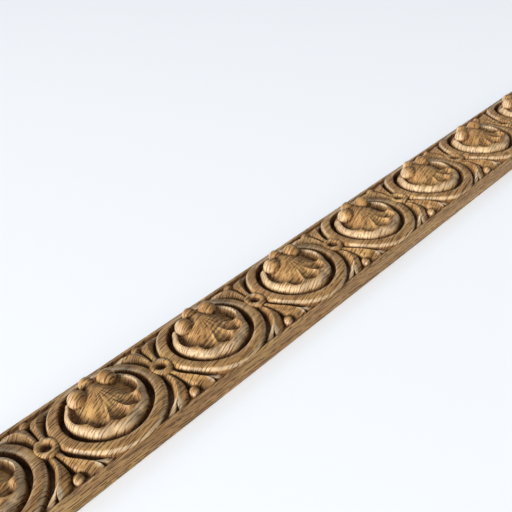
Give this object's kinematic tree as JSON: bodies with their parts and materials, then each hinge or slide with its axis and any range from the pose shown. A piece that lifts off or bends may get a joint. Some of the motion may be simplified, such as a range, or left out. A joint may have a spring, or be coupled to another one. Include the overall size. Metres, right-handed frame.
{
  "type": "carved wood moulding",
  "caption": "Carved oak moulding strip with round frames, shell rosettes with berries, eyelets and leaf sprays on a flat-backed board.",
  "frame": {"origin": "middle of the flat back face", "axes": "+X along the length, +Y across the width towards the berries of the rosettes, +Z out of the carved face"},
  "size_m": [0.448, 0.05, 0.0186],
  "materials": {
    "oak": "satin oiled oak, open pores, darker in the hollows and lighter on the raised edges"
  },
  "bodies": {
    "root": {"moulding": "oak"}
  },
  "joints": []
}
